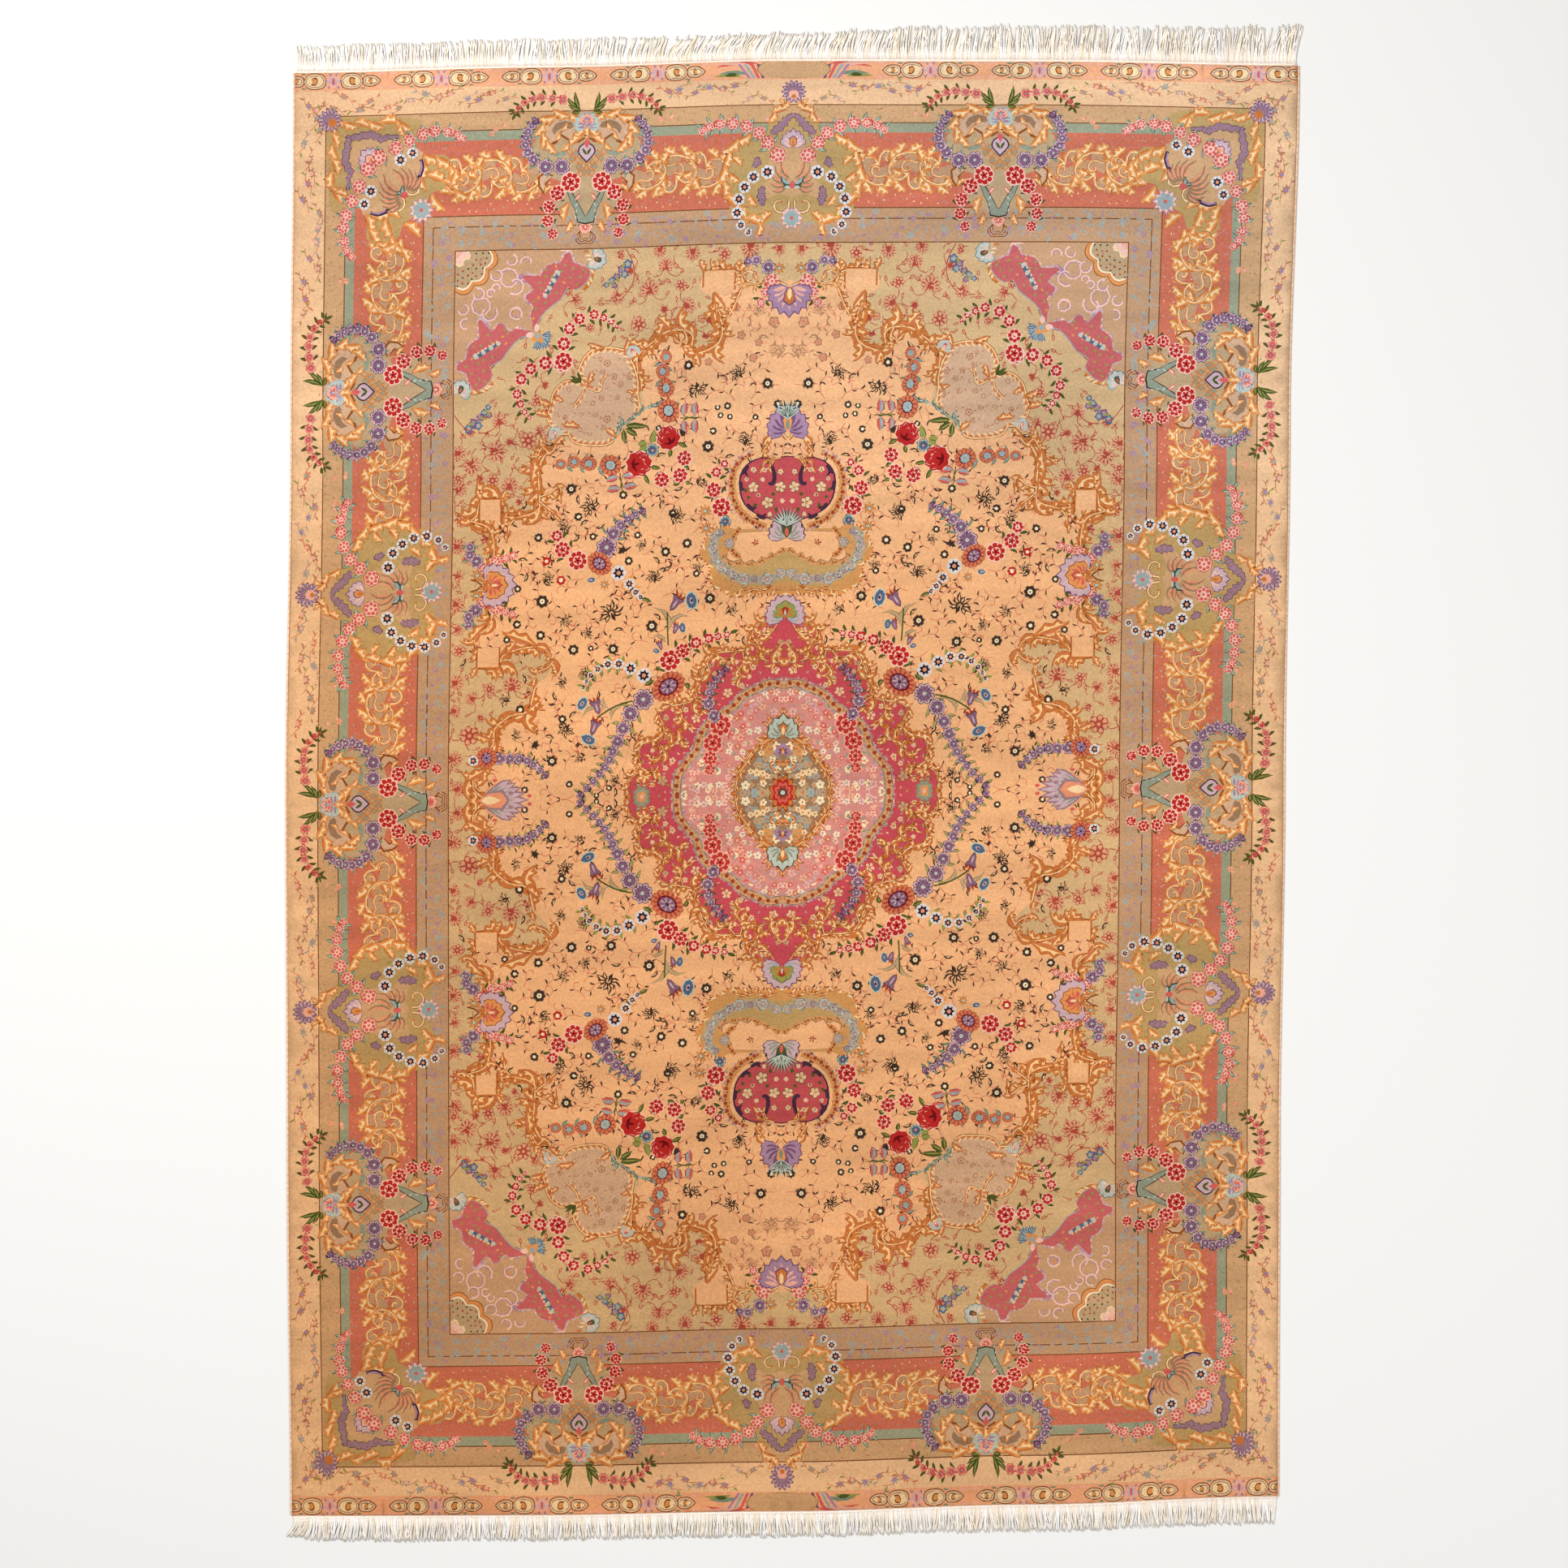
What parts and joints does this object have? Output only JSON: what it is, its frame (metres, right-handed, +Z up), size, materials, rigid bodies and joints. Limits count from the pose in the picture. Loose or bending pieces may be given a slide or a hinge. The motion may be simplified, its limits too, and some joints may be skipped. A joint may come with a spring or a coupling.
{
  "type": "persian rug",
  "caption": "Hand-knotted medallion rug in soft wool, lying flat, with plain-woven end bands, overcast side cords and knotted warp fringes.",
  "frame": {"origin": "under the middle of the whole rug, fringes included, on the surface it lies on", "axes": "+Y along the rug towards the top end of the picture, +X across it to the right, +Z up out of the pile"},
  "size_m": [2.0466, 3.0544, 0.008],
  "materials": {
    "pile": "cut wool pile, many-coloured floral knotting on peach",
    "selvedge": "overcast wool yarn, pale pinkish cream",
    "kilim": "plain-woven cotton, off-white",
    "fringe": "twisted cotton warp ends, white and cream"
  },
  "bodies": {
    "root": {"pile_rug": "pile", "selvedge_left": "selvedge", "selvedge_right": "selvedge", "kilim_top": "kilim", "kilim_bottom": "kilim", "fringe_top": "fringe", "fringe_bottom": "fringe"}
  },
  "joints": []
}
